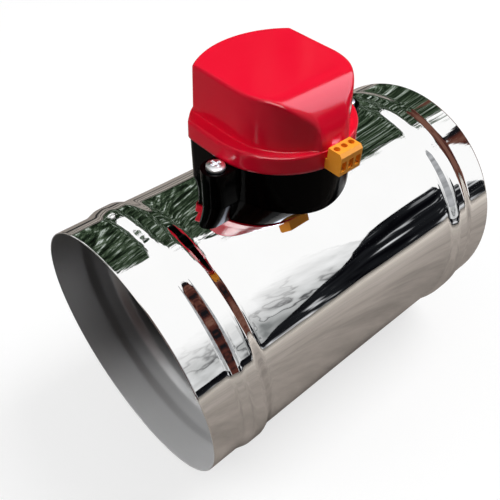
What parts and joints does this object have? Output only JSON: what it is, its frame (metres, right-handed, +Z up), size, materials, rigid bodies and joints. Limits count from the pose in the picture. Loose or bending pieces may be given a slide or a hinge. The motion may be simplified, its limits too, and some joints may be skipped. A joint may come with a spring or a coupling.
{
  "type": "motorized duct damper",
  "caption": "Round sheet-metal duct sleeve with rolled beads and a disc blade on a cross shaft, turned by a geared motor in a red and black housing with an orange terminal.",
  "frame": {"origin": "where the duct's axis crosses the blade shaft's axis", "axes": "+X along the duct, +Z up along the shaft to the actuator, terminal towards -Y"},
  "size_m": [0.2314, 0.155, 0.2074],
  "materials": {
    "polished_steel": "mirror-polished stainless sheet",
    "black_plastic": "glossy black moulded plastic",
    "red_plastic": "glossy red moulded plastic",
    "orange_plastic": "satin orange moulded plastic",
    "zinc_steel": "bright zinc-plated steel",
    "galvanised_plate": "galvanised sheet steel",
    "seal_rubber": "grey-black rubber sheet",
    "bush_nylon": "natural nylon",
    "gear_acetal": "white acetal",
    "magnet_ferrite": "sintered ferrite",
    "coil_copper": "enamelled copper wire",
    "switch_plastic": "dark phenolic plastic",
    "board_laminate": "green glass laminate",
    "lead_insulation": "grey vinyl insulation",
    "clamp_brass": "tinned spring brass"
  },
  "bodies": {
    "sleeve": {"duct_sleeve": "polished_steel", "upper_bush": "bush_nylon", "lower_bush": "bush_nylon", "actuator_base": "black_plastic", "mounting_screws": "zinc_steel", "actuator_cover": "red_plastic", "cover_screws": "zinc_steel", "gear_plate_lower": "galvanised_plate", "gear_plate_upper": "galvanised_plate", "plate_spacers": "zinc_steel", "gearbox_screws": "zinc_steel", "gear_axles": "zinc_steel", "rotor_axle": "zinc_steel", "coil_bobbin": "bush_nylon", "coil_winding": "coil_copper", "pole_plate": "galvanised_plate", "motor_can": "galvanised_plate", "motor_leads": "lead_insulation", "switch_open": "switch_plastic", "switch_closed": "switch_plastic", "switch_screws": "zinc_steel", "circuit_board": "board_laminate", "board_screws": "zinc_steel", "terminal_block": "orange_plastic", "terminal_clamps": "clamp_brass"},
    "blade": {"blade_shaft": "zinc_steel", "shaft_clip": "zinc_steel", "blade_plate_front": "galvanised_plate", "blade_seal": "seal_rubber", "blade_plate_back": "galvanised_plate", "blade_screws": "zinc_steel", "drive_coupler": "gear_acetal", "limit_cam": "switch_plastic", "output_gear": "gear_acetal"},
    "second_gear": {"second_gear": "gear_acetal"},
    "first_gear": {"first_gear": "gear_acetal"},
    "rotor": {"rotor_pinion": "gear_acetal", "rotor_magnet": "magnet_ferrite"},
    "lever_open": {"lever_open": "zinc_steel"},
    "lever_closed": {"lever_closed": "zinc_steel"}
  },
  "joints": [
    {"name": "blade_turn", "type": "hinge", "parent": "sleeve", "child": "blade", "pos_m": [0, 0, 0], "axis": [0, 0, 1], "range_deg": [0, 90]},
    {"name": "second_gear_spin", "type": "hinge", "parent": "sleeve", "child": "second_gear", "pos_m": [-0.012, 0.02078, 0.098], "axis": [0, 0, 1], "range_deg": [-361, 1]},
    {"name": "first_gear_spin", "type": "hinge", "parent": "sleeve", "child": "first_gear", "pos_m": [0.00695, 0.0239, 0.102], "axis": [0, 0, 1], "range_deg": [-1, 1081]},
    {"name": "rotor_spin", "type": "hinge", "parent": "sleeve", "child": "rotor", "pos_m": [0, 0.006, 0.11], "axis": [0, 0, 1], "range_deg": [-3241, 1]},
    {"name": "lever_open_press", "type": "hinge", "parent": "sleeve", "child": "lever_open", "pos_m": [0.01125, 0.0086, 0.085], "axis": [0, 0, 1], "range_deg": [0, 5], "stiffness_Nm_per_rad": 0.02},
    {"name": "lever_closed_press", "type": "hinge", "parent": "sleeve", "child": "lever_closed", "pos_m": [-0.01125, 0.0086, 0.085], "axis": [0, 0, -1], "range_deg": [0, 5], "stiffness_Nm_per_rad": 0.02}
  ],
  "couplings": [
    {"joint": "second_gear_spin", "follows": "blade_turn", "ratio": -4},
    {"joint": "first_gear_spin", "follows": "blade_turn", "ratio": 12},
    {"joint": "rotor_spin", "follows": "blade_turn", "ratio": -36}
  ]
}
